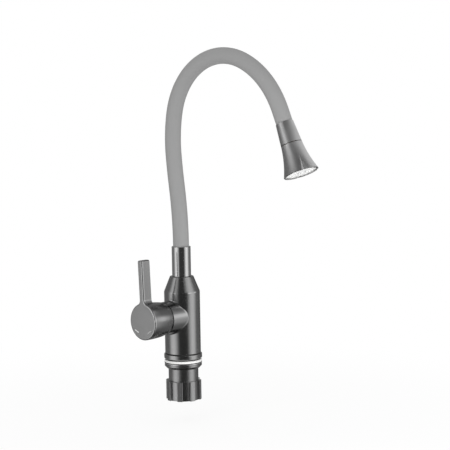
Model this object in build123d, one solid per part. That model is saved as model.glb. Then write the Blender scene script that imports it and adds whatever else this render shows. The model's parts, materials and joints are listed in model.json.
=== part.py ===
from build123d import *
import os
from math import cos, radians, sin, sqrt

# Flexible spout kitchen mixer, in millimetres, +Z up.
# The origin is on the body axis at the deck seat plane.
# The spout reaches out along -Y and the lever axis points along -X.

# Running clearances between turning or sliding pieces and their seats
running_gap = 0.06
fixed_gap = 0.02
free_gap = 0.4
flat_gap = 0.1

# A cut runs this far past the face that it opens
past = 1.0

# Base stack, from the deck upwards
deck_seal_height = 1.1
deck_seal_diameter = 47.2
seat_ring_height = 2.9
seat_ring_diameter = 47.0
base_seal_height = 1.4
base_seal_diameter = 44.2
base_ring_height = 6.1
base_ring_diameter = 47.8
base_ring_chamfer = 0.9
base_ring_edge = 0.9
spigot_diameter = 42.0

# Body
body_diameter = 45.0
body_height = 78.8
cone_height = 19.0
cone_top_diameter = 29.5
body_edge = 4.0
cone_edge = 0.9
body_seal_height = 1.3
body_seal_wall = 1.0
body_seal_recess = 0.4

# Shank and the clamp set under the deck
shank_diameter = 33.0
shank_bore = 26.0
shank_below_deck = 45.0
shank_in_body = 18.5
washer_hole_gap = 0.5
slip_washer_height = 1.4
slip_washer_diameter = 46.4
clamp_washer_height = 5.6
clamp_washer_diameter = 46.8
clamp_washer_chamfer = 3.0
nut_neck_diameter = 37.6
nut_neck_height = 15.7
nut_grip_diameter = 39.4
nut_grip_height = 24.5
nut_thread_length = 16.0
nut_relief = 1.0
nut_rib_count = 8
nut_rib_width = 7.2
nut_rib_height = 2.5
nut_rib_angle = 32.0
nut_rib_edge = 1.0
nut_edge = 0.6

# Waterways
inlet_core_diameter = 9.0
inlet_thread_length = 12.0
inlet_spread = 14.0
waterway_diameter = 6.4
outlet_diameter = 8.0

# Side housing and cartridge, measured outwards from the body axis
lever_axis_height = 59.3
housing_diameter = 40.8
housing_reach = 33.9
housing_root_edge = 2.0
cartridge_diameter = 35.0
cartridge_floor = 8.0
cartridge_base_height = 4.0
fixed_disc_height = 3.5
fixed_disc_diameter = 28.0
moving_disc_height = 2.8
moving_disc_diameter = 20.0
carrier_height = 5.6
cartridge_shell_top = 30.5
cartridge_shell_lid = 2.2
cartridge_wall = 1.9
guide_diameter = 23.6
guide_top = 38.0
guide_flange_height = 2.4
guide_flange_diameter = 30.2
cartridge_nut_thread = 38.0
cartridge_nut_top = 36.5
cartridge_nut_head = 34.4
cartridge_nut_bore = 26.0
port_circle = 8.0
port_seal_height = 1.2
port_seal_wall = 1.3
fixed_disc_lip = 1.0

# Lever tilt
pivot_reach = 36.0
lever_tilt_limit = 22.0
stem_ball_reach = 22.3
stem_ball_diameter = 5.6
stem_neck_diameter = 4.0
stem_width = 7.0
stem_square_reach = 27.5
stem_end_reach = 60.0
pin_diameter = 3.0
dome_diameter = 36.4
dome_wall = 0.8
dome_opening = 26.0

# Lever cap and bar
seam_gap = 0.6
lever_face_reach = 68.2
lever_face_diameter = 45.4
lever_side_bulge = 0.9
lever_seam_step = 0.1
lever_root_inset = 0.3
lever_cavity_gap = 0.5
lever_edge = 1.6
seam_edge = 0.9
bar_top = 76.0
bar_width = 7.8
bar_depth = 13.6
bar_root_fillet = 7.0
bar_top_fillet = 2.2
bar_back_edge = 0.8
boss_diameter = 13.0
boss_reach = 44.0
lever_rest_turn = 2.7
grub_diameter = 4.0
grub_length = 8.0
grub_reach = 57.5
mark_radius = 16.3
mark_angle = 44.0
mark_slope = 25.0
mark_length = 7.0
mark_width = 1.0
mark_depth = 0.5

# Spout ferrule and its swivel in the body
ferrule_diameter = 23.8
ferrule_height = 37.0
ferrule_gap = 0.4
ferrule_edge = 0.5
swivel_bore = 22.0
swivel_bore_depth = 30.0
stub_diameter = 18.8
stub_bore = 13.2
slip_ring_height = 4.0
swivel_seal_height = 2.6
swivel_seal_spacing = 7.0
stop_groove_depth = 1.4
stop_groove_height = 3.6
stop_screw_diameter = 5.0
stop_screw_tip = 2.4
stop_screw_height = 85.3

# Hose layers
sleeve_diameter = 20.0
sleeve_wall = 2.0
core_diameter = 15.8
core_wall = 1.5
water_hose_diameter = 12.0
water_hose_bore = 8.2
sleeve_seat_gap = 0.1
sleeve_in_ferrule = 20.0
core_in_ferrule = 6.4
hose_in_ferrule = 20.4
sleeve_in_collar = 14.0
crimp_length = 13.0
crimp_diameter = 15.6
barb_bore = 5.6
barb_rib = 0.25
barb_rib_places = (0.35, 0.65, 0.95)

# Hose line from the ferrule mouth: radius of each bend and its turn forwards.
# A negative turn leans back. The last stretch is straight.
lower_rigid_bend = (520.0, -2.2)
side_bend = (520.0, -3.6)
middle_rigid_bend = (520.0, -2.6)
rise_bend = (700.0, 3.1)
shoulder_bend = (183.0, 16.7)
crown_bend = (87.5, 90.0)
fall_bend_start = (87.5, 11.0)
fall_bend_end = (110.0, 10.0)
drop_bend = (110.0, 34.1)
drop_straight = 16.4

# Spray head, measured along its own axis from the collar's top
collar_length = 26.2
collar_top_diameter = 21.2
collar_end_diameter = 25.5
collar_ledge_height = 6.0
head_seam = 0.8
bell_length = 36.3
bell_rim_diameter = 42.4
bell_middle_diameter = 31.3
bell_wall = 2.0
groove_count = 4
groove_angle = 124.0
groove_start = 12.7
groove_depth = 2.0
groove_half_width = 4.8
rim_edge = 0.5
face_diameter = 37.6
face_height = 2.0
face_recess = 1.4
aerator_diameter = 15.0
aerator_height = 8.0
aerator_bar_width = 0.8
aerator_bar_count = 6
aerator_hole_diameter = 1.8
spigot_head_diameter = 16.0
spigot_head_length = 16.0
hub_diameter = 22.0
hub_height = 12.0
nozzle_ring_radii = (11.2, 15.0)
nozzle_ring_counts = (12, 18)
nozzle_diameter = 1.8
nozzle_height = 0.8
mat_height = 1.6
clip_height = 1.2
clip_wall = 2.4

# Heights worked out from the stack
seat_ring_bottom = deck_seal_height
base_seal_bottom = seat_ring_bottom + seat_ring_height
base_ring_bottom = base_seal_bottom + base_seal_height
body_bottom = base_ring_bottom + base_ring_height
cone_bottom = body_bottom + body_height
cone_top = cone_bottom + cone_height
ferrule_bottom = cone_top + ferrule_gap
ferrule_top = ferrule_bottom + ferrule_height
swivel_bottom = cone_top - swivel_bore_depth
shank_top = base_ring_bottom + shank_in_body
inlet_top = shank_top + inlet_thread_length
shank_radius = shank_diameter / 2
body_radius = body_diameter / 2

# Frames: the lever axis points out along -X, and the spout plane holds the hose
lever_frame = Plane(origin=(0, 0, lever_axis_height), x_dir=(0, -1, 0), z_dir=(-1, 0, 0))
spout_frame = Plane(origin=(0, 0, 0), x_dir=(0, -1, 0), z_dir=(-1, 0, 0))
stop_screw_frame = Plane(origin=(0, 0, stop_screw_height), x_dir=(1, 0, 0), z_dir=(0, 1, 0))

bottom = (Align.CENTER, Align.CENTER, Align.MIN)


def rod(radius, low, high):
    """A round bar along the local Z axis."""
    return Pos(0, 0, low) * Cylinder(radius, high - low, align=bottom)


def ring(outer_radius, inner_radius, low, high):
    """A round bar with a hole through it."""
    return rod(outer_radius, low, high) - rod(inner_radius, low - past, high + past)


def block(width, depth, low, high):
    """A square bar along the local Z axis."""
    return Pos(0, 0, low) * Box(width, depth, high - low, align=bottom)


def edges_at(solid, radius, height, slack=0.05):
    """The round edges of a solid at one radius and height about Z."""
    found = ShapeList()
    for edge in solid.edges().filter_by(GeomType.CIRCLE):
        near = abs(edge.radius - radius) < slack and abs(edge.arc_center.Z - height) < slack
        if near and abs(edge.arc_center.X) < slack and abs(edge.arc_center.Y) < slack:
            found.append(edge)
    return found


def lever_group(solid):
    """Places a piece built on the lever axis, turned to the rest position."""
    return lever_frame * Rot(0, 0, lever_rest_turn) * solid


nodes = {}


def add(name, solid):
    nodes[name] = solid


# Body casting
def mixer_body():
    spigot = rod(spigot_diameter / 2, base_ring_bottom, body_bottom + past)
    barrel = rod(body_radius, body_bottom, cone_bottom)
    cone = Pos(0, 0, cone_bottom) * Cone(body_radius, cone_top_diameter / 2, cone_height, align=bottom)
    casting = barrel + cone
    casting = fillet(edges_at(casting, body_radius, cone_bottom), body_edge)
    casting = fillet(edges_at(casting, cone_top_diameter / 2, cone_top), cone_edge)
    arm = lever_frame * rod(housing_diameter / 2, 0, housing_reach)
    casting = casting + arm
    crossing = ShapeList()
    for edge in casting.edges():
        middle = edge @ 0.5
        inside_arm = middle.X < 0 and abs(middle.Z - lever_axis_height) < housing_diameter / 2 + 1
        if inside_arm and edge.geom_type not in (GeomType.CIRCLE, GeomType.LINE):
            crossing.append(edge)
    casting = fillet(crossing, housing_root_edge)
    groove_floor = body_radius - body_seal_recess - body_seal_wall
    casting -= ring(body_radius + past, groove_floor, body_bottom - past, body_bottom + body_seal_height)
    casting = casting + spigot
    casting -= rod(shank_radius + fixed_gap, base_ring_bottom - past, shank_top)
    casting -= rod(swivel_bore / 2, swivel_bottom, cone_top + past)
    outlet_height = lever_axis_height + port_circle
    casting -= rod(outlet_diameter / 2, outlet_height, swivel_bottom + past)
    casting -= lever_frame * Pos(0, port_circle, 0) * rod(outlet_diameter / 2, 0, cartridge_floor + past)
    casting -= lever_frame * rod(cartridge_diameter / 2 + flat_gap, cartridge_floor, housing_reach + past)
    thread_floor = cartridge_shell_top - flat_gap
    casting -= lever_frame * rod(cartridge_nut_thread / 2, thread_floor, housing_reach + past)
    for side in (-1, 1):
        across = side * inlet_spread / 2
        port_height = lever_axis_height - port_circle / 2
        casting -= Pos(0, across, 0) * rod(inlet_core_diameter / 2, shank_top - past, inlet_top)
        casting -= Pos(0, across, 0) * rod(waterway_diameter / 2, shank_top, port_height)
        port = Pos(across, -port_circle / 2, 0) * rod(waterway_diameter / 2, 0, cartridge_floor + past)
        casting -= lever_frame * port
    casting -= stop_screw_frame * rod(stop_screw_diameter / 2 + fixed_gap, 0, body_radius + past)
    return casting


def base_stack():
    base = ring(base_ring_diameter / 2, spigot_diameter / 2 + fixed_gap, base_ring_bottom, body_bottom)
    base = chamfer(edges_at(base, base_ring_diameter / 2, base_ring_bottom), base_ring_chamfer)
    base = fillet(edges_at(base, base_ring_diameter / 2, body_bottom), base_ring_edge)
    add("base_ring", base)
    seal_radius = body_radius - body_seal_recess
    seal_bore = seal_radius - body_seal_wall + fixed_gap
    add("body_seal", ring(seal_radius, seal_bore, body_bottom, body_bottom + body_seal_height))
    hole = shank_radius + fixed_gap
    add("base_seal", ring(base_seal_diameter / 2, hole, base_seal_bottom, base_ring_bottom))
    seat = ring(seat_ring_diameter / 2, hole, seat_ring_bottom, base_seal_bottom)
    add("seat_ring", fillet(edges_at(seat, seat_ring_diameter / 2, base_seal_bottom), base_ring_edge))
    add("deck_seal", ring(deck_seal_diameter / 2, hole, 0, seat_ring_bottom))
    add("threaded_shank", ring(shank_radius, shank_bore / 2, -shank_below_deck, shank_top))


def clamp_set():
    hole = shank_radius + washer_hole_gap
    slip_bottom = -slip_washer_height
    nut_top = slip_bottom - clamp_washer_height
    grip_top = nut_top - nut_neck_height
    grip_bottom = grip_top - nut_grip_height
    slip = ring(slip_washer_diameter / 2, hole, slip_bottom, 0)
    add("slip_washer", fillet(edges_at(slip, slip_washer_diameter / 2, slip_bottom), nut_edge))
    washer = ring(clamp_washer_diameter / 2, hole, nut_top, slip_bottom)
    edge = edges_at(washer, clamp_washer_diameter / 2, nut_top)
    add("clamp_washer", chamfer(edge, clamp_washer_chamfer))
    nut = rod(nut_neck_diameter / 2, grip_top, nut_top)
    grip = rod(nut_grip_diameter / 2, grip_bottom, grip_top)
    nut += chamfer(edges_at(grip, nut_grip_diameter / 2, grip_top), nut_edge)
    rib_depth = nut_rib_height + nut_edge * 2
    rib_centre = nut_grip_diameter / 2 + nut_rib_height - rib_depth / 2
    rib = Pos(rib_centre, 0, grip_bottom) * Box(rib_depth, nut_rib_width, nut_grip_height, align=bottom)
    outer_edges = rib.edges().filter_by(Axis.Z).group_by(Axis.X)[-1]
    rib = fillet(outer_edges, nut_rib_edge)
    for number in range(nut_rib_count):
        nut += Rot(0, 0, nut_rib_angle + number * 360 / nut_rib_count) * rib
    nut -= rod(shank_radius + running_gap, grip_bottom - past, nut_top + past)
    nut -= rod(shank_radius + nut_relief, grip_bottom - past, nut_top - nut_thread_length)
    add("mounting_nut", nut)


# Cartridge, built on the lever axis from the casting's floor outwards
def port_places():
    return [
        (0, port_circle, outlet_diameter / 2),
        (inlet_spread / 2, -port_circle / 2, waterway_diameter / 2),
        (-inlet_spread / 2, -port_circle / 2, waterway_diameter / 2),
    ]


def cartridge():
    base_top = cartridge_floor + cartridge_base_height
    fixed_top = base_top + fixed_disc_height
    moving_top = fixed_top + moving_disc_height
    carrier_top = moving_top + carrier_height
    base = rod(cartridge_diameter / 2, cartridge_floor, base_top)
    fixed_disc = rod(fixed_disc_diameter / 2, base_top, fixed_top)
    seals = []
    for across, up, radius in port_places():
        base -= Pos(across, up, 0) * rod(radius, cartridge_floor - past, base_top + past)
        recess = rod(radius + port_seal_wall, cartridge_floor - past, cartridge_floor + port_seal_height)
        base -= Pos(across, up, 0) * recess
        fixed_disc -= Pos(across, up, 0) * rod(radius - fixed_disc_lip, base_top - past, fixed_top + past)
        seal = ring(radius + port_seal_wall, radius, cartridge_floor, cartridge_floor + port_seal_height)
        seals.append(lever_frame * Pos(across, up, 0) * seal)
    add("cartridge_base", lever_frame * base)
    add("port_seals", Compound(children=seals))
    add("fixed_ceramic_disc", lever_frame * fixed_disc)

    wall_radius = cartridge_diameter / 2 - cartridge_wall
    lid_bottom = cartridge_shell_top - cartridge_shell_lid
    shell = rod(cartridge_diameter / 2, base_top, cartridge_shell_top)
    shell -= rod(wall_radius, base_top - past, lid_bottom)
    shell -= rod(guide_diameter / 2 + running_gap, lid_bottom - past, cartridge_shell_top + past)
    add("cartridge_shell", lever_frame * shell)

    moving_disc = rod(moving_disc_diameter / 2, fixed_top, moving_top)
    hollow = block(waterway_diameter, waterway_diameter * 2, fixed_top - past, moving_top - past)
    add("moving_ceramic_disc", lever_group(moving_disc - hollow))
    carrier = rod(moving_disc_diameter / 2, moving_top, carrier_top)
    socket_radius = stem_ball_diameter / 2 + free_gap / 2
    carrier -= rod(socket_radius, stem_ball_reach - stem_ball_diameter / 2 - free_gap, carrier_top + past)
    add("disc_carrier", lever_group(carrier))

    guide_bottom = lid_bottom - flat_gap - guide_flange_height
    guide = rod(guide_flange_diameter / 2, guide_bottom, lid_bottom - flat_gap)
    guide += rod(guide_diameter / 2, guide_bottom, guide_top)
    reach = pivot_reach - guide_bottom
    slot_half = reach * sin(radians(lever_tilt_limit)) / cos(radians(lever_tilt_limit))
    slot_half += stem_width / 2 / cos(radians(lever_tilt_limit)) + free_gap
    guide -= block(stem_width + 2 * free_gap, 2 * slot_half, guide_bottom - past, guide_top + past)
    pin_frame = Plane(origin=(0, 0, pivot_reach), x_dir=(0, 0, 1), z_dir=(1, 0, 0))
    pin_half = guide_diameter / 2 - free_gap
    guide -= pin_frame * rod(pin_diameter / 2 + fixed_gap, -guide_diameter, guide_diameter)
    add("stem_guide", lever_group(guide))
    add("stem_pin", lever_group(pin_frame * rod(pin_diameter / 2, -pin_half, pin_half)))

    stem = Pos(0, 0, stem_ball_reach) * Sphere(stem_ball_diameter / 2)
    stem += rod(stem_neck_diameter / 2, stem_ball_reach, stem_square_reach + past)
    stem += block(stem_width, stem_width, stem_square_reach, stem_end_reach)
    stem -= pin_frame * rod(pin_diameter / 2 + running_gap, -stem_width, stem_width)
    add("lever_stem", lever_group(stem))

    thread_radius = cartridge_nut_thread / 2 - fixed_gap
    nut = rod(thread_radius, cartridge_shell_top, housing_reach)
    nut += rod(cartridge_nut_head / 2, cartridge_shell_top, cartridge_nut_top)
    nut -= rod(cartridge_nut_bore / 2, cartridge_shell_top - past, cartridge_nut_top + past)
    add("cartridge_nut", lever_frame * nut)

    dome = Pos(0, 0, pivot_reach) * Sphere(dome_diameter / 2)
    dome -= Pos(0, 0, pivot_reach) * Sphere(dome_diameter / 2 - dome_wall)
    dome -= rod(dome_opening / 2, pivot_reach, pivot_reach + dome_diameter)
    dome -= rod(dome_diameter, pivot_reach - dome_diameter, housing_reach)
    add("dome_ring", lever_frame * dome)


# Lever: the cap, its bar, the socket for the stem and the marks
def lever():
    face_radius = lever_face_diameter / 2
    seam_radius = (housing_diameter + lever_seam_step) / 2
    middle_radius = (face_radius + seam_radius) / 2 + lever_side_bulge
    seam_reach = housing_reach + seam_gap
    middle_reach = (lever_face_reach + seam_reach) / 2
    side = ThreePointArc(
        (face_radius, 0, lever_face_reach), (middle_radius, 0, middle_reach), (seam_radius, 0, seam_reach)
    )
    seam_corners = [(seam_radius, 0, seam_reach), (0, 0, seam_reach)]
    face_corners = [(0, 0, lever_face_reach), (face_radius, 0, lever_face_reach)]
    rest = Polyline(seam_corners + face_corners)
    cap = revolve(make_face([side, rest]), Axis.Z, 360)
    cap = chamfer(edges_at(cap, seam_radius, seam_reach), seam_edge)
    cap = fillet(edges_at(cap, face_radius, lever_face_reach), lever_edge)
    bar_low = lever_face_reach - bar_depth
    bar_outline = Pos(0, bar_top / 2) * Rectangle(bar_width, bar_top)
    keyhole = Circle(face_radius - lever_root_inset) + bar_outline
    roots = [v for v in keyhole.vertices() if 0 < v.Y < bar_top - past]
    keyhole = fillet(roots, bar_root_fillet)
    ends = [v for v in keyhole.vertices() if v.Y > bar_top - past]
    keyhole = fillet(ends, bar_top_fillet)
    front = Pos(0, 0, bar_low) * extrude(keyhole, bar_depth)
    front = fillet(front.faces().sort_by(Axis.Z)[-1].outer_wire().edges(), lever_edge)
    front = fillet(front.faces().sort_by(Axis.Z)[0].edges().filter_by(Axis.Y), bar_back_edge)
    solid = cap + front
    cavity = dome_diameter / 2 + lever_cavity_gap
    hollow = Pos(0, 0, pivot_reach) * Sphere(cavity)
    hollow += rod(sqrt(cavity**2 - (pivot_reach - seam_reach) ** 2), seam_reach - past, pivot_reach)
    hollow -= rod(boss_diameter / 2, boss_reach, pivot_reach + dome_diameter)
    solid -= hollow
    tilt = radians(lever_tilt_limit)
    relief_clearance = pivot_reach - housing_reach - free_gap
    relief_frame = Plane(
        origin=(0, -relief_clearance * sin(tilt), pivot_reach - relief_clearance * cos(tilt)),
        x_dir=(1, 0, 0),
        z_dir=(0, -sin(tilt), -cos(tilt)),
    )
    solid -= relief_frame * block(2 * lever_face_diameter, 2 * lever_face_diameter, 0, lever_face_diameter)
    socket_width = stem_width + 2 * fixed_gap
    solid -= block(socket_width, socket_width, seam_reach, stem_end_reach + flat_gap)
    grub_frame = Plane(origin=(0, 0, grub_reach), x_dir=(1, 0, 0), z_dir=(0, -1, 0))
    solid -= grub_frame * rod(grub_diameter / 2 + fixed_gap, 0, lever_face_diameter)
    grub_start = stem_width / 2 + flat_gap
    grub = grub_frame * rod(grub_diameter / 2, grub_start, grub_start + grub_length)
    add("lever_grub_screw", lever_group(grub))
    mark_low = lever_face_reach - mark_depth
    for name, side_sign in (("hot_mark", -1), ("cold_mark", 1)):
        spot = Rot(0, 0, side_sign * mark_angle) * Pos(0, -mark_radius, mark_low)
        place = spot * Rot(0, 0, side_sign * (mark_slope - mark_angle))
        solid -= place * Box(mark_length, mark_width, mark_depth + past, align=bottom)
        dash = Box(mark_length - 2 * fixed_gap, mark_width - 2 * fixed_gap, mark_depth, align=bottom)
        add(name, lever_group(place * dash))
    add("lever", lever_group(solid))


# Spout ferrule, its swivel rings and the stop screw
def ferrule():
    sleeve_bore = sleeve_diameter / 2 + sleeve_seat_gap
    floor = ferrule_top - sleeve_in_ferrule - 2 * flat_gap
    barb_seat = floor - (hose_in_ferrule - sleeve_in_ferrule)
    shell = rod(ferrule_diameter / 2, ferrule_bottom, ferrule_top)
    shell = fillet(edges_at(shell, ferrule_diameter / 2, ferrule_top), ferrule_edge)
    stub_bottom = swivel_bottom + flat_gap
    shell += rod(stub_diameter / 2, stub_bottom, ferrule_bottom)
    shell -= rod(stub_bore / 2, stub_bottom - past, floor + past)
    shell -= rod(sleeve_bore, floor, ferrule_top + past)
    groove_low = stop_screw_height - stop_groove_height / 2
    groove_radius = stub_diameter / 2 - stop_groove_depth
    shell -= ring(stub_diameter, groove_radius, groove_low, groove_low + stop_groove_height)
    add("spout_ferrule", shell)
    bearing_radius = swivel_bore / 2 - running_gap
    inner = stub_diameter / 2 + fixed_gap
    lower_ring = ring(bearing_radius, inner, stub_bottom, stub_bottom + slip_ring_height)
    upper_top = cone_top - flat_gap
    upper_ring = ring(bearing_radius, inner, upper_top - slip_ring_height, upper_top)
    add("lower_slip_ring", lower_ring)
    add("upper_slip_ring", upper_ring)
    seals = []
    for number in (1, 2):
        low = upper_top - slip_ring_height - number * swivel_seal_spacing
        seals.append(ring(bearing_radius, inner, low, low + swivel_seal_height))
    add("swivel_seals", Compound(children=seals))
    screw = rod(stop_screw_diameter / 2, swivel_bore / 2 + flat_gap, body_radius - free_gap)
    screw += rod(stop_screw_tip / 2, groove_radius + free_gap, swivel_bore / 2 + past)
    add("spout_stop_screw", stop_screw_frame * screw)
    barb = rod(stub_bore / 2 - fixed_gap, barb_seat - 2 * slip_ring_height, barb_seat)
    barb += ribbed_barb(barb_seat, barb_seat + crimp_length)
    barb -= rod(barb_bore / 2, swivel_bottom, ferrule_top)
    add("lower_barb", barb)
    crimp_bore = water_hose_diameter / 2 + fixed_gap
    crimp_top = ferrule_top - core_in_ferrule
    add("lower_crimp", ring(crimp_diameter / 2, crimp_bore, crimp_top - crimp_length, crimp_top))


def ribbed_barb(low, high):
    """A nipple with small ribs that the water hose is pushed onto."""
    radius = water_hose_bore / 2 - barb_rib - fixed_gap
    nipple = rod(radius, low - past, high)
    for share in barb_rib_places:
        middle = low + share * (high - low)
        nipple += ring(radius + barb_rib, radius - barb_rib, middle - 2 * barb_rib, middle + 2 * barb_rib)
    return nipple


# Hose line in the spout plane
class HoseLine:
    """Follows the hose from one stretch to the next."""

    def __init__(self, reach, height):
        self.place = Vector(reach, height)
        self.heading = Vector(0, 1)

    def straight(self, length):
        line = Line(self.place, self.place + self.heading * length)
        self.place = line @ 1
        return line

    def bend(self, size, share=1.0):
        radius, turn = size
        arc = JernArc(self.place, self.heading, radius, -turn * share)
        self.place = arc @ 1
        self.heading = arc % 1
        return arc


def row_point(place):
    """A point of the spout plane in the part's own frame."""
    return (0, -place.X, place.Y)


def hose_tube(lines, outer_radius, inner_radius):
    """A tube along joined lines of the spout plane."""
    path = Wire(lines)
    start = Plane(origin=path @ 0, z_dir=path % 0)
    section = start * (Circle(outer_radius) - Circle(inner_radius))
    return spout_frame * sweep(section, path=path)


def hose():
    line = HoseLine(0, ferrule_top - sleeve_in_ferrule - flat_gap)
    in_ferrule = line.straight(sleeve_in_ferrule + flat_gap)
    hose_start = HoseLine(0, ferrule_top - hose_in_ferrule)
    core_start = HoseLine(0, ferrule_top - core_in_ferrule)
    hose_first = hose_start.straight(hose_in_ferrule)
    core_first = core_start.straight(core_in_ferrule)
    lower = line.bend(lower_rigid_bend)
    side_one = line.bend(side_bend, 0.5)
    side_point = line.place
    side_heading = line.heading
    side_two = line.bend(side_bend, 0.5)
    middle = line.bend(middle_rigid_bend)
    rise_one = line.bend(rise_bend, 0.5)
    rise_point = line.place
    rise_two = line.bend(rise_bend, 0.5)
    shoulder = line.bend(shoulder_bend)
    crown = line.bend(crown_bend)
    fall_one = line.bend(fall_bend_start)
    fall_point = line.place
    fall_two = line.bend(fall_bend_end)
    drop = line.bend(drop_bend)
    end_run = line.straight(drop_straight)
    collar_top = line.place
    heading = line.heading
    in_collar = line.straight(sleeve_in_collar)

    sleeve = (sleeve_diameter / 2, sleeve_diameter / 2 - sleeve_wall)
    add("hose_sleeve_lower", hose_tube([in_ferrule, lower], *sleeve))
    add("hose_bend_side", hose_tube([side_one, side_two], *sleeve))
    add("hose_sleeve_middle", hose_tube([middle], *sleeve))
    add("hose_bend_rise", hose_tube([rise_one, rise_two], *sleeve))
    add("hose_sleeve_arch", hose_tube([shoulder, crown], *sleeve))
    add("hose_bend_fall", hose_tube([fall_one, fall_two], *sleeve))
    add("hose_sleeve_head", hose_tube([drop, end_run, in_collar], *sleeve))

    core = (core_diameter / 2, core_diameter / 2 - core_wall)
    water = (water_hose_diameter / 2, water_hose_bore / 2)
    stretches = {
        "lower": [lower, side_one],
        "middle": [side_two, middle, rise_one],
        "arch": [rise_two, shoulder, crown, fall_one],
        "head": [fall_two, drop, end_run],
    }
    for name, lines in stretches.items():
        core_lines = list(lines)
        water_lines = list(lines)
        if name == "lower":
            core_lines = [core_first] + core_lines
            water_lines = [hose_first] + water_lines
        if name == "head":
            water_lines = water_lines + [in_collar]
        add("hose_core_" + name, hose_tube(core_lines, *core))
        add("water_hose_" + name, hose_tube(water_lines, *water))
    return {
        "side_bend": (side_point, side_heading),
        "rise_bend": (rise_point, None),
        "fall_bend": (fall_point, None),
        "collar_top": (collar_top, heading),
    }


# Spray head, built along its own axis from the collar's top
def spray_head(frame):
    bell_top = collar_length + head_seam
    rim = bell_top + bell_length
    ledge_top = collar_length - collar_ledge_height
    spigot_radius = spigot_head_diameter / 2
    spigot_end = bell_top + spigot_head_length
    sleeve_bore = sleeve_diameter / 2 + sleeve_seat_gap / 2

    collar = Cone(collar_top_diameter / 2, collar_end_diameter / 2, collar_length, align=bottom)
    collar -= rod(sleeve_bore, -past, ledge_top)
    collar -= rod(spigot_radius + fixed_gap, ledge_top - past, collar_length + past)
    add("hose_collar", frame * collar)

    shoulder_low = sleeve_in_collar + flat_gap
    connector = rod(sleeve_bore - fixed_gap, shoulder_low, ledge_top)
    connector += rod(spigot_radius, shoulder_low, spigot_end)
    connector += Pos(0, 0, shoulder_low) * Rot(180, 0, 0) * ribbed_barb(0, crimp_length)
    clip_low = bell_top + hub_height + flat_gap
    clip_groove = spigot_radius - clip_wall / 2
    connector -= ring(spigot_head_diameter, clip_groove, clip_low - flat_gap, clip_low + clip_height)
    seal_low = bell_top + hub_height / 2
    seal_groove = spigot_radius - clip_wall / 2
    connector -= ring(spigot_head_diameter, seal_groove, seal_low - flat_gap, seal_low + swivel_seal_height)
    connector -= rod(barb_bore / 2, -past, spigot_end + past)
    add("head_connector", frame * connector)
    seal_top = seal_low + swivel_seal_height - flat_gap
    add("head_seal", frame * ring(spigot_radius, seal_groove, seal_low, seal_top))
    clip_top = clip_low + clip_height - flat_gap
    clip = ring(spigot_radius + clip_wall / 2, clip_groove + fixed_gap, clip_low, clip_top)
    add("head_clip", frame * clip)
    crimp_bore = water_hose_diameter / 2 + fixed_gap
    crimp_end = sleeve_in_collar
    add("upper_crimp", frame * ring(crimp_diameter / 2, crimp_bore, crimp_end - crimp_length, crimp_end))

    hub_low = bell_top + flat_gap
    hub = rod(hub_diameter / 2, hub_low, bell_top + hub_height)
    hub -= rod(spigot_radius + running_gap, hub_low - past, bell_top + hub_height + past)
    add("swivel_hub", frame * hub)

    neck_radius = collar_end_diameter / 2
    rim_radius = bell_rim_diameter / 2
    middle = (bell_middle_diameter / 2, 0, (bell_top + rim) / 2)
    flare = ThreePointArc((neck_radius, 0, bell_top), middle, (rim_radius, 0, rim))
    rest = Polyline([(rim_radius, 0, rim), (0, 0, rim), (0, 0, bell_top), (neck_radius, 0, bell_top)])
    bell = revolve(make_face([flare, rest]), Axis.Z, 360)
    bell = chamfer(edges_at(bell, rim_radius, rim), rim_edge)
    valley_start = bell_top + groove_start
    valley_end = rim + groove_depth
    start_radius = flare_radius(flare, valley_start)
    slope_run = rim - valley_start
    fall = rim_radius - groove_depth - start_radius
    end_radius = start_radius + fall * (valley_end - valley_start) / slope_run
    opening = groove_half_width / groove_depth
    for number in range(groove_count):
        turn = Rot(0, 0, groove_angle + number * 360 / groove_count)
        bell -= turn * groove_cutter(start_radius, valley_start, end_radius, valley_end, opening)
    bell = bell - rod(hub_diameter / 2 + fixed_gap, bell_top - past, bell_top + hub_height + fixed_gap)
    chamber_low = bell_top + hub_height + fixed_gap
    mat_low = rim - face_recess - face_height - mat_height
    chamber_top_radius = hub_diameter / 2 - bell_wall / 2
    chamber = Pos(0, 0, chamber_low) * Cone(
        chamber_top_radius, face_diameter / 2 - bell_wall, mat_low - chamber_low, align=bottom
    )
    bell -= chamber
    bell -= rod(face_diameter / 2 + fixed_gap, mat_low, rim + past)
    add("spray_bell", frame * bell)

    mat_radius = face_diameter / 2
    face_low = mat_low + mat_height
    face_top = face_low + face_height
    mat = rod(mat_radius, mat_low, face_low)
    face = rod(mat_radius, face_low, face_top)
    for circle_radius, count in zip(nozzle_ring_radii, nozzle_ring_counts):
        for number in range(count):
            place = Rot(0, 0, number * 360 / count) * Pos(circle_radius, 0, 0)
            mat += place * rod(nozzle_diameter / 2, face_low, face_top + nozzle_height)
            mat -= place * rod(nozzle_diameter / 4, mat_low - past, face_top + nozzle_height + past)
            face -= place * rod(nozzle_diameter / 2 + fixed_gap, face_low - past, face_top + past)
    mat -= rod(aerator_diameter / 2 + fixed_gap, mat_low - past, face_low + past)
    face -= rod(aerator_diameter / 2 + fixed_gap, face_low - past, face_top + past)
    add("nozzle_mat", frame * mat)
    add("spray_face", frame * face)
    aerator_bottom = face_top - aerator_height
    aerator_bore = aerator_diameter / 2 - bell_wall / 2
    aerator = ring(aerator_diameter / 2, aerator_bore, aerator_bottom, face_top)
    mesh_low = face_top - 2 * face_recess
    screen = block(2 * aerator_bore, aerator_bar_width, mesh_low, face_top - face_recess / 2)
    web = rod(aerator_diameter / 2, face_top - aerator_height / 2, mesh_low)
    for number in range(aerator_bar_count):
        aerator += Rot(0, 0, number * 180 / aerator_bar_count) * screen
        hole = Rot(0, 0, number * 360 / aerator_bar_count) * Pos(aerator_diameter / 4, 0, 0)
        web -= hole * rod(aerator_hole_diameter / 2, aerator_bottom, face_top)
    add("aerator", frame * (aerator + web))


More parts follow.
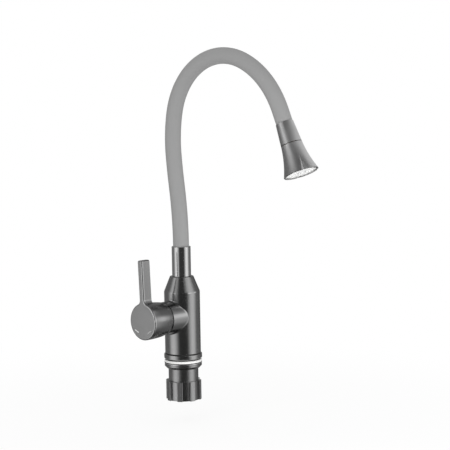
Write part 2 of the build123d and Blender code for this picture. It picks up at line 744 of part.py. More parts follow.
def flare_radius(flare, height):
    """The bell's outer radius at one height, found along its arc."""
    low, high = 0.0, 1.0
    for _ in range(40):
        middle = (low + high) / 2
        if (flare @ middle).Z < height:
            low = middle
        else:
            high = middle
    return (flare @ low).X


def groove_cutter(start_radius, start_height, end_radius, end_height, opening):
    """A wedge whose valley runs from the groove's apex down past the rim."""
    run = end_height - start_height
    rise = end_radius - start_radius
    length = sqrt(run**2 + rise**2)
    along = (rise / length, 0, run / length)
    valley = Plane(origin=(start_radius, 0, start_height), x_dir=(0, 1, 0), z_dir=along)
    depth = groove_depth * 4
    width = opening * depth
    corners = Polyline((0, 0), (width, depth), (-width, depth), close=True)
    flip = 1 if valley.y_dir.X > 0 else -1
    wedge = extrude(make_face(corners), length)
    if flip < 0:
        wedge = Rot(0, 0, 180) * wedge
    return valley * wedge


add("mixer_body", mixer_body())
base_stack()
clamp_set()
cartridge()
lever()
ferrule()
joint_places = hose()
collar_top_place, head_heading = joint_places["collar_top"]
head_direction = (0, -head_heading.X, head_heading.Y)
head_frame = Plane(origin=row_point(collar_top_place), x_dir=(1, 0, 0), z_dir=head_direction)
spray_head(head_frame)

os.makedirs("parts", exist_ok=True)
for node_name, node_solid in nodes.items():
    export_step(node_solid, "parts/" + node_name + ".step")

for joint_name, (place, heading) in joint_places.items():
    print(joint_name, "at", [round(v, 4) for v in row_point(place)])
    if heading is not None:
        print("  heading", (0, round(-heading.X, 6), round(heading.Y, 6)))
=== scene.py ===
import json
import math
import bpy
from mathutils import Matrix, Vector


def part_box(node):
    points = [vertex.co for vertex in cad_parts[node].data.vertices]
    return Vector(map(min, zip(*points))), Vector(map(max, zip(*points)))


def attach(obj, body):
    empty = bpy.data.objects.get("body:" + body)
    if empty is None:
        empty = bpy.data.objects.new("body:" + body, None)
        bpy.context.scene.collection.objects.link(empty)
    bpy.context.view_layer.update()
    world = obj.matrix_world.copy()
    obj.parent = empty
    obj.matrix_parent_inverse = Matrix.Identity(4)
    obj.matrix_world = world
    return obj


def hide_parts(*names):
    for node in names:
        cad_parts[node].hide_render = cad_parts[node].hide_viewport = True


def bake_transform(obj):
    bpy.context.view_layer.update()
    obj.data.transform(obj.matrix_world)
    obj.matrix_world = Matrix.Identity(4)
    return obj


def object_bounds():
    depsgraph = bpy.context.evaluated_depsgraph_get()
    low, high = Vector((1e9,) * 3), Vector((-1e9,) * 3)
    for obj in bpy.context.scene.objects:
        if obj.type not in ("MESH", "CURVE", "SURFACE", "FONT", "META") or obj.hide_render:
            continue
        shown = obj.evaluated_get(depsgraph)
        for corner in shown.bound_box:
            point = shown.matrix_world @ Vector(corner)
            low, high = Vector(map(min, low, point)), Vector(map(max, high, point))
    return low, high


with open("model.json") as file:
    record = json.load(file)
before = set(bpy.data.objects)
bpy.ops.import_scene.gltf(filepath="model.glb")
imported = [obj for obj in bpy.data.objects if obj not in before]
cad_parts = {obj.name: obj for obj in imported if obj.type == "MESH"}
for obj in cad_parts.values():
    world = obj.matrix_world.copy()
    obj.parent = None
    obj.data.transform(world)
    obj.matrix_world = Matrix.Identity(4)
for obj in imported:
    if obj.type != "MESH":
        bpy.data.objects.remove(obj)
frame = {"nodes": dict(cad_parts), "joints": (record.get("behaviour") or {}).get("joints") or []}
cad_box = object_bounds()

# Lengths are in metres and angles in degrees, unless a comment says otherwise
MM = 0.001
WHITE = (1.0, 1.0, 1.0, 1.0)

# Camera: its azimuth, distance from the body axis and height, how far it looks aside, down and
# askew, its lens and sensor in mm, and the nearest and farthest that it sees
CAMERA_AZIMUTH = -44.07
CAMERA_DISTANCE = 2.0
CAMERA_HEIGHT = 0.3834
CAMERA_YAW = -1.59
CAMERA_PITCH = 6.02
CAMERA_ROLL = -0.95
CAMERA_LENS = 128.5
SENSOR_WIDTH = 36.0
CAMERA_CLIP = (0.05, 50.0)

# Brightness of the white surroundings as light on the object
AMBIENT = 0.83

# Floor: how far it lies under the solids, below the clamp nut at the low end of its travel, its
# size and grey, the share of its own shading that shows near the body axis, and the distances
# from the axis between which that share fades away
FLOOR_GAP = 0.0285
FLOOR_RADIUS = 6.0
FLOOR_SIDES = 96
FLOOR_GREY = 0.85
FLOOR_SHADOW_SHARE = 0.12
FLOOR_FADE = (0.15, 0.6)

# Dark dome that only gloss reflects: its radius, the height of its centre, its grey, and its
# rings and sides
DOME_RADIUS = 5.0
DOME_CENTRE = 0.1
DOME_GREY = 0.045
DOME_RINGS = 48
DOME_SIDES = 96

# Panels of light on the dome, seen from the object: azimuth from the camera, half width and
# softness, lower and upper elevation and softness, brightness
PANELS = {
    "left_box": (-63.5, 25.5, 22.0, -42.0, 46.0, 24.0, 0.97),
    "right_box": (68.0, 23.0, 20.0, -44.0, 40.0, 24.0, 0.97),
    "left_side": (-135.0, 45.0, 16.0, -50.0, 50.0, 20.0, 0.2),
    "right_side": (110.0, 32.0, 12.0, -50.0, 50.0, 20.0, 0.2),
    "left_strip": (-58.0, 10.0, 5.0, 4.0, 12.0, 4.0, 4.0),
    "right_strip": (50.0, 10.0, 5.0, 4.0, 12.0, 4.0, 4.0),
    "housing_strip": (91.0, 8.0, 7.0, -4.0, 18.0, 8.0, 1.5),
    "back": (180.0, 32.0, 14.0, -80.0, 70.0, 16.0, 0.24),
    "top": (0.0, 180.0, 1.0, 66.0, 120.0, 12.0, 0.14),
}

# Curved white card round the spray head: azimuths from the camera, heights, distance from the
# head, steps round, the azimuth where the count of azimuths starts, the azimuths between which
# it brightens, and its two brightnesses
HEAD_CARD_SPAN = (-25.0, 190.0)
HEAD_CARD_HEIGHTS = (0.25, 0.42)
HEAD_CARD_REACH = 0.13
HEAD_CARD_STEPS = 72
HEAD_CARD_SEAM = -90.0
HEAD_CARD_FADE = (-17.0, 56.0)
HEAD_CARD_WHITE = (0.26, 0.9)

# Lamps: azimuth from the camera, elevation, distance, side of the square, power in watts
LAMPS = {
    "key_lamp": (-38.0, 42.0, 1.6, 0.9, 5.0),
    "fill_lamp": (55.0, 25.0, 1.8, 1.0, 1.6),
}

# A low lamp that lights the spray face from below: its place, what it points at, side and power
FACE_LAMP = ((-0.16, -0.56, 0.0), (0.0, -0.2, 0.27), 0.2, 1.15)


# Node building
def put_node(tree, kind, settings=None, inputs=None):
    """A new node with its settings, and its inputs as values or as links from other outputs."""
    node = tree.nodes.new(kind)
    for key, value in (settings or {}).items():
        setattr(node, key, value)
    for key, value in (inputs or {}).items():
        if isinstance(value, bpy.types.NodeSocket):
            tree.links.new(value, node.inputs[key])
        else:
            node.inputs[key].default_value = value
    return node


def maths(tree, operation, *values):
    node = put_node(tree, "ShaderNodeMath", {"operation": operation}, dict(enumerate(values)))
    return node.outputs[0]


def vector_maths(tree, operation, *values):
    node = put_node(tree, "ShaderNodeVectorMath", {"operation": operation}, dict(enumerate(values)))
    return node.outputs["Value" if operation == "LENGTH" else "Vector"]


def map_range(tree, value, source, target, kind="SMOOTHSTEP"):
    inputs = {"Value": value, "From Min": source[0], "From Max": source[1]}
    inputs.update({"To Min": target[0], "To Max": target[1]})
    return put_node(tree, "ShaderNodeMapRange", {"interpolation_type": kind}, inputs).outputs[0]


def coordinates(tree, place):
    """The X, Y and Z of a place."""
    return put_node(tree, "ShaderNodeSeparateXYZ", None, {0: place}).outputs


def empty_tree(owner):
    owner.use_nodes = True
    owner.node_tree.nodes.clear()
    return owner.node_tree


def surface(name):
    """A new material with its tree and the object's own coordinates."""
    material = bpy.data.materials.new(name)
    tree = empty_tree(material)
    place = put_node(tree, "ShaderNodeTexCoord").outputs["Object"]
    return material, tree, place


def to_output(tree, shader, kind="ShaderNodeOutputMaterial"):
    """Ends a tree with a shader."""
    put_node(tree, kind, None, {"Surface": shader.outputs[0]})


def sees_background(tree):
    """1 for the rays that see the background: the camera's, and those in gloss and in clear pieces."""
    path = put_node(tree, "ShaderNodeLightPath")
    seen = maths(tree, "MAXIMUM", path.outputs["Is Camera Ray"], path.outputs["Is Glossy Ray"])
    return maths(tree, "MAXIMUM", seen, path.outputs["Is Transmission Ray"])


# Geometry
def towards(azimuth, elevation):
    """The direction to an azimuth and elevation."""
    aside = math.radians(azimuth)
    up = math.radians(elevation)
    return Vector((math.sin(aside) * math.cos(up), -math.cos(aside) * math.cos(up), math.sin(up)))


def turn_steps(count):
    """Angles in even steps round one turn, in radians."""
    return [math.tau * number / count for number in range(count)]


def round_point(angle, radius, height):
    """A point at an angle in radians round the Z axis."""
    return Vector((math.cos(angle) * radius, math.sin(angle) * radius, height))


def ring_faces(first, second, count, flip=False):
    """Quads between two rings of points given by their first indices."""
    faces = []
    for number in range(count):
        after = (number + 1) % count
        face = (first + number, first + after, second + after, second + number)
        faces.append(face[::-1] if flip else face)
    return faces


def new_object(name, data):
    obj = bpy.data.objects.new(name, data)
    bpy.context.scene.collection.objects.link(obj)
    return obj


def new_mesh(name, points, faces, material):
    mesh = bpy.data.meshes.new(name)
    mesh.from_pydata(points, [], faces)
    mesh.materials.append(material)
    return mesh


# Camera
def make_camera():
    data = bpy.data.cameras.new("camera")
    data.lens = CAMERA_LENS
    data.sensor_width = SENSOR_WIDTH
    data.clip_start, data.clip_end = CAMERA_CLIP
    camera = new_object("camera", data)
    turn = Matrix.Rotation(math.radians(CAMERA_AZIMUTH + CAMERA_YAW), 4, "Z")
    tip = Matrix.Rotation(math.radians(90 - CAMERA_PITCH), 4, "X")
    roll = Matrix.Rotation(math.radians(CAMERA_ROLL), 4, "Z")
    place = towards(CAMERA_AZIMUTH, 0) * CAMERA_DISTANCE + Vector((0, 0, CAMERA_HEIGHT))
    camera.matrix_world = Matrix.Translation(place) @ turn @ tip @ roll
    bpy.context.scene.camera = camera


# Studio
def make_world():
    world = bpy.data.worlds.new("studio")
    bpy.context.scene.world = world
    tree = empty_tree(world)
    strength = map_range(tree, sees_background(tree), (0, 1), (AMBIENT, 1.0), "LINEAR")
    sky = put_node(tree, "ShaderNodeBackground", None, {"Color": WHITE, "Strength": strength})
    to_output(tree, sky, "ShaderNodeOutputWorld")
    world.cycles.sampling_method = "NONE"


def stage_object(name, points, faces, material):
    obj = new_object(name, new_mesh(name, points, faces, material))
    return obj


def make_floor():
    """A pale floor, white to the camera but for a share of its shading near the object."""
    material, tree, place = surface("floor_white")
    pale = put_node(tree, "ShaderNodeBsdfDiffuse", None, {"Color": shade(grey(FLOOR_GREY), 1.0)})
    white = put_node(tree, "ShaderNodeEmission", None, {"Color": WHITE, "Strength": 1.0})
    from_axis = vector_maths(tree, "LENGTH", vector_maths(tree, "MULTIPLY", place, (1, 1, 0)))
    far = map_range(tree, from_axis, FLOOR_FADE, (1 - FLOOR_SHADOW_SHARE, 1.0))
    share = maths(tree, "MULTIPLY", far, sees_background(tree))
    inputs = {0: share, 1: pale.outputs[0], 2: white.outputs[0]}
    to_output(tree, put_node(tree, "ShaderNodeMixShader", None, inputs))
    height = cad_box[0].z - FLOOR_GAP
    points = [round_point(angle, FLOOR_RADIUS, height) for angle in turn_steps(FLOOR_SIDES)]
    floor = stage_object("floor", points, [range(FLOOR_SIDES)], material)
    floor.visible_glossy = False


def glowing(name):
    """A new material for a light source that isn't sampled as a lamp, as surface gives it."""
    material, tree, place = surface(name)
    material.cycles.emission_sampling = "NONE"
    return material, tree, place


def glow(tree, strength):
    to_output(tree, put_node(tree, "ShaderNodeEmission", None, {"Color": WHITE, "Strength": strength}))


def azimuth_of(tree, x, y):
    """The azimuth of a place from the object's own front, in radians."""
    return maths(tree, "ARCTAN2", x, maths(tree, "MULTIPLY", y, -1.0))


def only_in_gloss(obj):
    obj.visible_camera = False
    obj.visible_diffuse = False
    obj.visible_transmission = False
    obj.visible_volume_scatter = False
    obj.visible_shadow = False


def face_camera(obj):
    obj.rotation_euler.z = math.radians(CAMERA_AZIMUTH)


def soft_panel(tree, azimuth, elevation, panel):
    """The brightness of one panel with soft edges."""
    centre, half, soft, low, high, fade = [math.radians(angle) for angle in panel[:6]]
    offset = maths(tree, "WRAP", maths(tree, "SUBTRACT", azimuth, centre), math.pi, -math.pi)
    aside = maths(tree, "ABSOLUTE", offset)
    across = map_range(tree, aside, (half - soft, half + soft), (panel[6], 0.0))
    above = map_range(tree, elevation, (low - fade, low + fade), (0.0, 1.0))
    below = map_range(tree, elevation, (high - fade, high + fade), (1.0, 0.0))
    return maths(tree, "MULTIPLY", across, maths(tree, "MULTIPLY", above, below))


def make_dome():
    """A dark dome with soft panels of light, which only gloss reflects."""
    material, tree, place = glowing("studio_dome")
    x, y, height = coordinates(tree, vector_maths(tree, "NORMALIZE", place))
    azimuth = azimuth_of(tree, x, y)
    elevation = maths(tree, "ARCSINE", height)
    brightest = DOME_GREY
    for panel in PANELS.values():
        brightest = maths(tree, "MAXIMUM", brightest, soft_panel(tree, azimuth, elevation, panel))
    glow(tree, brightest)
    points = []
    for ring in range(DOME_RINGS + 1):
        level = -90 + 180 * ring / DOME_RINGS
        points += [towards(360 * side / DOME_SIDES, level) * DOME_RADIUS for side in range(DOME_SIDES)]
    faces = []
    for ring in range(DOME_RINGS):
        faces += ring_faces(ring * DOME_SIDES, (ring + 1) * DOME_SIDES, DOME_SIDES)
    dome = stage_object("studio_dome", points, faces, material)
    dome.location.z = DOME_CENTRE
    face_camera(dome)
    only_in_gloss(dome)


def make_head_card():
    """A curved card in front of and beside the spray head, which only gloss reflects."""
    material, tree, place = glowing("head_card")
    azimuth = azimuth_of(tree, *coordinates(tree, place)[:2])
    seam = math.radians(HEAD_CARD_SEAM)
    turned = maths(tree, "WRAP", azimuth, seam + math.tau, seam)
    fade = [math.radians(angle) for angle in HEAD_CARD_FADE]
    glow(tree, map_range(tree, turned, fade, HEAD_CARD_WHITE))
    first, last = HEAD_CARD_SPAN
    low, high = [Vector((0, 0, height)) for height in HEAD_CARD_HEIGHTS]
    points = []
    for step in range(HEAD_CARD_STEPS + 1):
        way = towards(first + (last - first) * step / HEAD_CARD_STEPS, 0) * HEAD_CARD_REACH
        points += [way + low, way + high]
    corners = [2 * step for step in range(HEAD_CARD_STEPS)]
    faces = [(corner, corner + 2, corner + 3, corner + 1) for corner in corners]
    card = stage_object("head_card", points, faces, material)
    head = (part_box("hose_collar")[0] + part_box("spray_bell")[1]) / 2
    card.location = (head.x, head.y, 0)
    face_camera(card)
    only_in_gloss(card)


def put_lamp(name, place, aim, side, power):
    data = bpy.data.lights.new(name, "AREA")
    data.size = side
    data.energy = power
    lamp = new_object(name, data)
    lamp.location = place
    lamp.rotation_mode = "QUATERNION"
    lamp.rotation_quaternion = (aim - place).to_track_quat("-Z", "Y")
    lamp.visible_glossy = False


def make_lamps():
    centre = (cad_box[0] + cad_box[1]) / 2
    for name, (azimuth, elevation, distance, side, power) in LAMPS.items():
        place = centre + towards(CAMERA_AZIMUTH + azimuth, elevation) * distance
        put_lamp(name, place, centre, side, power)
    place, aim, side, power = FACE_LAMP
    put_lamp("face_lamp", Vector(place), Vector(aim), side, power)


# Materials: a pattern of noise is given as its scale, detail and roughness, and its values
# between these two are spread over the range that is asked for
MIDDLE = (0.3, 0.7)

# Brushed metal: the patterns of its lines, clouds and pits, the scale along a line, the middle
# values of the lines, the shares by which tone and roughness vary with the lines, the factors
# of roughness in the clouds, and the strengths of the pits and of the lines as bumps
BRUSH_LINES = (1.0, 4.0, 0.65)
BRUSH_CLOUDS = (45.0, 3.0, 0.5)
BRUSH_PITS = (2400.0, 2.0, 0.5)
BRUSH_ALONG = 60.0
BRUSH_MIDDLE = (0.25, 0.75)
BRUSH_TONE = 0.03
BRUSH_ROUGHNESS = 0.12
BRUSH_DULLNESS = (0.9, 1.12)
PIT_STRENGTH = 0.15
LINE_STRENGTH = 0.3

# Cast metal: the patterns of its clouds and grain, the shares by which tone and roughness vary,
# the grain's strength as a bump and its depth in mm
CAST_CLOUDS = (90.0, 4.0, 0.5)
CAST_GRAIN = (3000.0, 3.0, 0.5)
CAST_TONE = 0.1
CAST_ROUGHNESS = 0.15
CAST_STRENGTH = 0.3
CAST_DEPTH = 0.03

# Moulded pieces: the pattern of clouds, the detail and roughness of the grain, the share by
# which their roughness varies, and the grain's strength as a bump
MOULDED_CLOUDS = (60.0, 3.0, 0.5)
MOULDED_GRAIN = (3.0, 0.6)
MOULDED_ROUGHNESS = 0.08
MOULDED_STRENGTH = 0.25

# Painted shade on the lever: its sides are painted darker than its face; their share of its tone at depths
# behind it in mm
LEVER_PAINTED_SHADE = ((1.0, 1.0), (3.0, 0.54), (22.0, 0.64))

# Painted shade on the outer wall of the spray face and the nozzle mat, where the bell covers it: its depth
# in mm and its share of their tone
WALL_SKIN = 0.3
WALL_SHADE_TONE = 0.16

# The spray head's axis, as its joint has it, and the turns that brush metal round other axes
# than Z, in radians
SPRAY_TURN = next(joint for joint in frame["joints"] if joint["name"] == "spray_turn")
HEAD_AXIS = Vector(SPRAY_TURN["axis"])
HEAD_CENTRE = Vector(SPRAY_TURN["pos_m"])
ROUND_HEAD = (math.atan2(-HEAD_AXIS.y, -HEAD_AXIS.z), 0.0, 0.0)
ROUND_SIDE = (0.0, math.radians(90), 0.0)


def grey(value):
    return (value, value, value)


def shade(colour, factor):
    """A colour times a factor, with its alpha."""
    return tuple(min(1.0, value * factor) for value in colour) + (1.0,)


def noise(tree, place, scale, detail, roughness):
    inputs = {"Vector": place, "Scale": scale, "Detail": detail, "Roughness": roughness}
    return put_node(tree, "ShaderNodeTexNoise", None, inputs).outputs[0]


def stretched(tree, place, turn, scale):
    """The coordinates turned and then stretched."""
    turned = put_node(tree, "ShaderNodeMapping", None, {"Vector": place, "Rotation": turn})
    inputs = {"Vector": turned.outputs[0], "Scale": scale}
    return put_node(tree, "ShaderNodeMapping", None, inputs).outputs[0]


def mottled(tree, pattern, colour, share):
    """A colour that varies by a share either side of its value with a pattern."""
    inputs = {0: pattern, 6: shade(colour, 1 - share), 7: shade(colour, 1 + share)}
    return put_node(tree, "ShaderNodeMix", {"data_type": "RGBA"}, inputs).outputs[2]


def varied(tree, pattern, value, share, middle=MIDDLE):
    """A number that varies by a share either side of its value with a pattern."""
    return map_range(tree, pattern, middle, (value * (1 - share), value * (1 + share)), "LINEAR")


def bumped(tree, height, strength, depth, normal=None):
    """The normal over a bump whose depth is in mm, on top of another normal if given."""
    inputs = {"Height": height, "Strength": strength, "Distance": depth * MM}
    if normal is not None:
        inputs["Normal"] = normal
    return put_node(tree, "ShaderNodeBump", None, inputs).outputs[0]


def finish_surface(tree, inputs):
    to_output(tree, put_node(tree, "ShaderNodeBsdfPrincipled", None, inputs))


def shaded(tree, tone, share):
    """A tone times a share from another output."""
    settings = {"data_type": "RGBA", "blend_type": "MULTIPLY"}
    three = put_node(tree, "ShaderNodeCombineXYZ", None, {0: share, 1: share, 2: share})
    return put_node(tree, "ShaderNodeMix", settings, {0: 1.0, 6: tone, 7: three.outputs[0]}).outputs[2]


def painted_shade_wall(tree, place, tone):
    """The tone of a round piece in the head, with painted shade on its outer wall, which the bell covers.

    The head stands in the middle of X, so the spray face reaches as far in X as its radius.
    """
    offset = vector_maths(tree, "SUBTRACT", place, HEAD_CENTRE)
    from_axis = vector_maths(tree, "LENGTH", vector_maths(tree, "CROSS_PRODUCT", offset, HEAD_AXIS))
    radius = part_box("spray_face")[1].x
    edge = (radius - WALL_SKIN * MM, radius - WALL_SKIN * MM / 2)
    return shaded(tree, tone, map_range(tree, from_axis, edge, (1.0, WALL_SHADE_TONE)))


def painted_shade_sides(tree, place, tone):
    """The lever's tone with painted shade, darker behind its face than on it. The face is its low end in
    X.
    """
    x = coordinates(tree, place)["X"]
    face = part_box("lever")[0].x
    share = LEVER_PAINTED_SHADE[0][1]
    for (low, before), (high, after) in zip(LEVER_PAINTED_SHADE, LEVER_PAINTED_SHADE[1:]):
        depths = (face + low * MM, face + high * MM)
        share = maths(tree, "MULTIPLY", share, map_range(tree, x, depths, (1.0, after / before), "LINEAR"))
    return shaded(tree, tone, share)


def brushed_metal(name, colour, roughness, turn=(0.0, 0.0, 0.0), lines=2600.0, depth=0.004, tint=None):
    """Metal with fine lines brushed round an axis, cloudy tone and tiny pits.

    A tint, if given, is a function that changes the tone by the place on the object.
    """
    material, tree, place = surface(name)
    across = stretched(tree, place, turn, (BRUSH_ALONG, BRUSH_ALONG, lines))
    streaks = noise(tree, across, *BRUSH_LINES)
    clouds = noise(tree, place, *BRUSH_CLOUDS)
    pits = noise(tree, place, *BRUSH_PITS)
    tone = mottled(tree, map_range(tree, streaks, BRUSH_MIDDLE, (0, 1), "LINEAR"), colour, BRUSH_TONE)
    if tint:
        tone = tint(tree, place, tone)
    dull = map_range(tree, clouds, MIDDLE, BRUSH_DULLNESS, "LINEAR")
    rough = varied(tree, streaks, roughness, BRUSH_ROUGHNESS, BRUSH_MIDDLE)
    finish_surface(tree, {
        "Base Color": tone,
        "Metallic": 1.0,
        "Roughness": maths(tree, "MULTIPLY", rough, dull),
        "Normal": bumped(tree, streaks, LINE_STRENGTH, depth, bumped(tree, pits, PIT_STRENGTH, depth)),
    })
    return material


def cast_metal(name, colour, roughness):
    """Plain metal as turned or die cast, with faint grain and cloudy tone."""
    material, tree, place = surface(name)
    clouds = noise(tree, place, *CAST_CLOUDS)
    grain = noise(tree, place, *CAST_GRAIN)
    finish_surface(tree, {
        "Base Color": mottled(tree, clouds, colour, CAST_TONE),
        "Metallic": 1.0,
        "Roughness": varied(tree, grain, roughness, CAST_ROUGHNESS),
        "Normal": bumped(tree, grain, CAST_STRENGTH, CAST_DEPTH),
    })
    return material


def moulded(name, colour, roughness, specular=0.5, grain_scale=2500.0, depth=0.02, share=0.03, tint=None):
    """Moulded plastic, rubber or silicone with fine grain. Its tone varies by a share."""
    material, tree, place = surface(name)
    clouds = noise(tree, place, *MOULDED_CLOUDS)
    grain = noise(tree, place, grain_scale, *MOULDED_GRAIN)
    tone = mottled(tree, clouds, colour, share)
    if tint:
        tone = tint(tree, place, tone)
    finish_surface(tree, {
        "Base Color": tone,
        "Roughness": varied(tree, grain, roughness, MOULDED_ROUGHNESS),
        "Specular IOR Level": specular,
        "Normal": bumped(tree, grain, MOULDED_STRENGTH, depth),
    })
    return material


def make_materials():
    """Every material by its name, put on the solids in place of the plain one of that name."""
    made = {
        "body_metal": brushed_metal("body_metal", grey(0.41), 0.22),
        # The lever's sides carry painted shade
        "lever_metal": brushed_metal("lever_metal", grey(0.57), 0.24, ROUND_SIDE, tint=painted_shade_sides),
        "ferrule_metal": brushed_metal("ferrule_metal", grey(0.68), 0.13, lines=1500.0, depth=0.003),
        "trim_metal": cast_metal("trim_metal", grey(0.5), 0.2),
        "head_metal": brushed_metal("head_metal", grey(0.5), 0.4, ROUND_HEAD),
        "nut_metal": cast_metal("nut_metal", grey(0.39), 0.28),
        "shank_brass": cast_metal("shank_brass", (0.62, 0.47, 0.24), 0.3),
        "brass": cast_metal("brass", (0.66, 0.5, 0.25), 0.28),
        "steel": cast_metal("steel", grey(0.55), 0.28),
        "slip_metal": cast_metal("slip_metal", grey(0.9), 0.3),
        "core_steel": cast_metal("core_steel", grey(0.5), 0.32),
        "hose_silicone": moulded("hose_silicone", grey(0.3), 0.6, 0.3, 1600.0, 0.03, 0.02),
        "water_hose": moulded("water_hose", (0.78, 0.78, 0.74), 0.4),
        "black_rubber": moulded("black_rubber", grey(0.03), 0.55, 0.4),
        # The nozzle mat and the spray face carry painted shade on their outer wall
        "nozzle_rubber": moulded("nozzle_rubber", grey(0.84), 0.5, 0.4, tint=painted_shade_wall),
        "white_plastic": moulded("white_plastic", (0.86, 0.86, 0.85), 0.4, 0.4),
        "cartridge_plastic": moulded("cartridge_plastic", (0.7, 0.7, 0.66), 0.4),
        "spray_plastic": moulded("spray_plastic", (0.86, 0.86, 0.85), 0.28, tint=painted_shade_wall),
        "aerator_plastic": moulded("aerator_plastic", grey(0.84), 0.4),
        "ceramic": moulded("ceramic", (0.88, 0.87, 0.84), 0.18),
        "mark_light": moulded("mark_light", grey(0.85), 0.4),
        "mark_grey": moulded("mark_grey", grey(0.42), 0.4),
    }
    for obj in frame["nodes"].values():
        obj.data.materials[0] = made[obj.data.materials[0].name.split(".")[0]]
    return made


# Pieces that stand for solids: faces that meet at more than this angle keep a sharp edge
SHARP_ANGLE = 35.0


def link_piece(name, points, faces, material):
    mesh = new_mesh(name, points, faces, material)
    mesh.shade_smooth()
    mesh.set_sharp_from_angle(angle=math.radians(SHARP_ANGLE))
    obj = new_object(name, mesh)
    return obj


# The hose's centre line in the spout plane, from the ferrule's mouth: radius in mm and
# turn forwards in degrees of each bend, as the solids have it
BENDS = {
    "lower_rigid": (520.0, -2.2),
    "side": (520.0, -3.6),
    "middle_rigid": (520.0, -2.6),
    "rise": (700.0, 3.1),
    "shoulder": (183.0, 16.7),
    "crown": (87.5, 90.0),
    "fall_start": (87.5, 11.0),
    "fall_end": (110.0, 10.0),
    "drop": (110.0, 34.1),
}

# The straight end of the drop, which stops at the collar, in mm
DROP_STRAIGHT = 16.4

# Layers of the hose: outer and inner radius, how far they reach below the ferrule's mouth and
# into the collar and the length of their steps, in mm, then the sides round and the material
HOSE_LAYERS = {
    "hose_sleeve": (10.0, 8.0, 20.1, 14.0, 2.0, 64, "hose_silicone"),
    "hose_core": (7.9, 6.4, 6.4, 0.0, 2.0, 32, "core_steel"),
    "water_hose": (6.0, 4.1, 20.4, 14.0, 4.0, 24, "water_hose"),
}

# Three lengths of each layer: their name, the bodies at their two ends, and the bends whose
# ends mark where the hose goes over from the one body to the other
HOSE_SPANS = (
    ("rise_side", "spout", "hose_middle", ("lower_rigid", "side")),
    ("rise_arch", "hose_middle", "hose_arch", ("middle_rigid", "rise")),
    ("crown_drop", "hose_arch", "hose_head", ("crown", "fall_end")),
)

# The solids that the three lengths of each layer stand for
HOSE_SOLIDS = {
    "hose_sleeve": (
        ("hose_sleeve_lower", "hose_bend_side"),
        ("hose_sleeve_middle", "hose_bend_rise"),
        ("hose_sleeve_arch", "hose_bend_fall", "hose_sleeve_head"),
    ),
    "hose_core": (
        ("hose_core_lower",),
        ("hose_core_middle",),
        ("hose_core_arch", "hose_core_head"),
    ),
    "water_hose": (
        ("water_hose_lower",),
        ("water_hose_middle",),
        ("water_hose_arch", "water_hose_head"),
    ),
}


class HoseLine:
    """The centre line by its length from the ferrule's mouth, in mm. Before the mouth it is straight."""

    def __init__(self):
        self.stretches = []
        self.ends = {}
        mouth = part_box("spout_ferrule")[1].z / MM
        reach, height, angle, start = 0.0, mouth, 0.0, 0.0
        for name, (radius, turn) in BENDS.items():
            self.stretches.append((start, reach, height, angle, math.copysign(radius, turn)))
            start += radius * math.radians(abs(turn))
            reach, height, angle = self.at(start)
            self.ends[name] = start
        self.stretches.append((start, reach, height, angle, math.inf))
        self.end = start + DROP_STRAIGHT

    def at(self, length):
        """Reach, height and lean forwards at one length, the lean in radians."""
        found = self.stretches[0]
        for stretch in self.stretches:
            if stretch[0] <= length:
                found = stretch
        start, reach, height, angle, radius = found
        run = length - start
        if length < 0 or radius == math.inf:
            return reach + run * math.sin(angle), height + run * math.cos(angle), angle
        after = angle + run / radius
        reach += radius * (math.cos(angle) - math.cos(after))
        height += radius * (math.sin(after) - math.sin(angle))
        return reach, height, after

    def place(self, length):
        """Centre in metres and forward normal at one length."""
        reach, height, angle = self.at(length)
        return Vector((0, -reach, height)) * MM, Vector((0, math.cos(angle), math.sin(angle)))


def tube(name, line, start, end, radii, step, sides, material):
    """A closed tube with a bore along part of the hose line."""
    count = max(2, round((end - start) / step))
    places = [line.place(start + (end - start) * number / count) for number in range(count + 1)]
    points = []
    for radius in radii:
        for centre, forward in places:
            for angle in turn_steps(sides):
                side = Vector((math.cos(angle), 0, 0)) + forward * math.sin(angle)
                points.append(centre + side * radius * MM)
    faces = []
    walls = (count + 1) * sides
    for number in range(count):
        low, high = number * sides, (number + 1) * sides
        faces += ring_faces(low, high, sides)
        faces += ring_faces(walls + low, walls + high, sides, True)
    faces += ring_faces(0, walls, sides, True)
    faces += ring_faces(count * sides, walls + count * sides, sides)
    return link_piece(name, points, faces, material)


def hose_layers(made):
    """The sleeve, the core and the water hose, each in three lengths that stand for their solids."""
    line = HoseLine()
    ends = line.ends
    first_cut = (ends["side"] + ends["middle_rigid"]) / 2
    second_cut = (ends["shoulder"] + ends["crown"]) / 2
    for layer, (outer, inner, in_ferrule, in_collar, step, sides, slot) in HOSE_LAYERS.items():
        cuts = (-in_ferrule, first_cut, second_cut, line.end + in_collar)
        for number, (part, lower, upper, bends) in enumerate(HOSE_SPANS):
            name = layer + "_" + part
            start, end = cuts[number:number + 2]
            piece = tube(name, line, start, end, (outer, inner), step, sides, made[slot])
            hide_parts(*HOSE_SOLIDS[layer][number])
            joint = [ends[bend] for bend in bends]
            line.place(joint[0])[0]
            line.place(joint[1])[0]
            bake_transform(piece)


# Thread of the shank: its bore, pitch and depth in mm, the share of the pitch that is flat on
# a crest and in a valley, its rows per turn and its sides
SHANK_BORE = 26.0
THREAD_PITCH = 2.0
THREAD_DEPTH = 1.1
THREAD_FLAT = 0.1
THREAD_STEPS = 8
THREAD_SIDES = 48


def thread_valley(turns):
    """The share of the thread's depth at a number of turns: 0 on a crest and 1 in a valley."""
    from_crest = abs(2 * (turns % 1.0) - 1)
    return min(1.0, max(0.0, (from_crest - THREAD_FLAT) / (1 - 2 * THREAD_FLAT)))


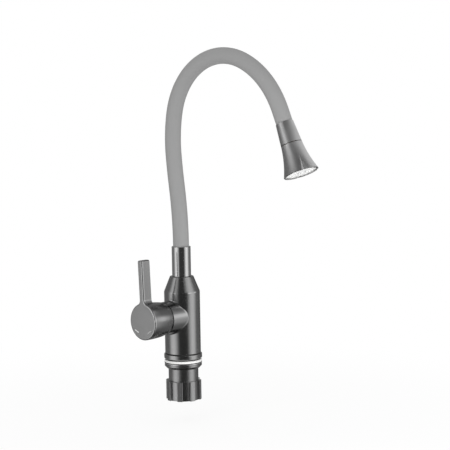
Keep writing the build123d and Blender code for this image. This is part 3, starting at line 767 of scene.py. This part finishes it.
def threaded_shank(material):
    """The shank with its thread, in place of the plain solid."""
    low, high = [corner.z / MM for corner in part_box("threaded_shank")]
    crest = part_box("threaded_shank")[1].x / MM
    rows = round((high - low) * THREAD_STEPS / THREAD_PITCH)
    points = []
    for row in range(rows + 1):
        height = low + (high - low) * row / rows
        from_end = min(height - low, high - height)
        for angle in turn_steps(THREAD_SIDES):
            depth = THREAD_DEPTH * thread_valley(height / THREAD_PITCH - angle / math.tau)
            radius = min(crest - depth, crest - THREAD_DEPTH + from_end)
            points.append(round_point(angle, radius, height) * MM)
    for height in (low, high):
        points += [round_point(angle, SHANK_BORE / 2, height) * MM for angle in turn_steps(THREAD_SIDES)]
    faces = []
    for row in range(rows):
        faces += ring_faces(row * THREAD_SIDES, (row + 1) * THREAD_SIDES, THREAD_SIDES)
    inner = (rows + 1) * THREAD_SIDES
    faces += ring_faces(inner, inner + THREAD_SIDES, THREAD_SIDES, True)
    faces += ring_faces(inner, 0, THREAD_SIDES)
    faces += ring_faces(rows * THREAD_SIDES, inner + THREAD_SIDES, THREAD_SIDES)
    shank = link_piece("shank_thread", points, faces, material)
    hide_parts("threaded_shank")
    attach(shank, "tap_body")


# Set screws with hex sockets: their profile from the tip to the head as radius and distance from
# the head, then the width and depth of the socket, in mm, and the sides round them
STOP_SCREW_PROFILE = ((1.2, 13.7), (1.2, 11.0), (2.5, 11.0), (2.5, 0.3), (2.2, 0.0))
GRUB_SCREW_PROFILE = ((1.0, 8.0), (2.0, 7.0), (2.0, 0.3), (1.7, 0.0))
STOP_SOCKET = (2.5, 2.2)
GRUB_SOCKET = (2.0, 1.8)
SCREW_SIDES = 24

# How far off upright the lever rests
LEVER_REST_TURN = 2.7


def hexagon_radius(angle, width):
    """The reach of a hexagon from its centre at an angle in radians, for its width across."""
    half_side = math.pi / 6
    return width / 2 / math.cos((angle + half_side) % (2 * half_side) - half_side)


def socket_screw(name, node, body, heading, profile, socket, material):
    """A set screw with a hex socket in its head, along its heading from head to tip."""
    low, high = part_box(node)
    head = (low + high) / 2 - heading * profile[0][1] * MM / 2
    turn = heading.to_track_quat("Z", "Y")
    width, depth = socket
    angles = turn_steps(SCREW_SIDES)
    rings = [[(radius, z)] * SCREW_SIDES for radius, z in profile]
    rings += [[(hexagon_radius(angle, width), z) for angle in angles] for z in (0.0, depth)]
    points = []
    for ring in rings:
        points += [head + turn @ round_point(angle, *spot) * MM for angle, spot in zip(angles, ring)]
    faces = [tuple(range(SCREW_SIDES))]
    last = (len(rings) - 1) * SCREW_SIDES
    for start in range(0, last, SCREW_SIDES):
        faces += ring_faces(start, start + SCREW_SIDES, SCREW_SIDES, True)
    faces.append(tuple(range(last + SCREW_SIDES - 1, last - 1, -1)))
    screw = link_piece(name, points, faces, material)
    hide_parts(node)
    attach(screw, body)


def set_screws(material):
    """The spout's stop screw, and the lever's grub screw, which leans with the lever."""
    turn = math.radians(LEVER_REST_TURN)
    up = Vector((0, math.sin(turn), math.cos(turn)))
    stop = ("stop_set_screw", "spout_stop_screw", "tap_body", Vector((0, -1, 0)))
    grub = ("lever_set_screw", "lever_grub_screw", "lever_arm", up)
    socket_screw(*stop, STOP_SCREW_PROFILE, STOP_SOCKET, material)
    socket_screw(*grub, GRUB_SCREW_PROFILE, GRUB_SOCKET, material)


view = bpy.context.scene.view_settings
view.view_transform = "Standard"

make_camera()
make_world()
make_floor()
make_dome()
make_head_card()
make_lamps()
materials = make_materials()
hose_layers(materials)
threaded_shank(materials["shank_brass"])
set_screws(materials["steel"])
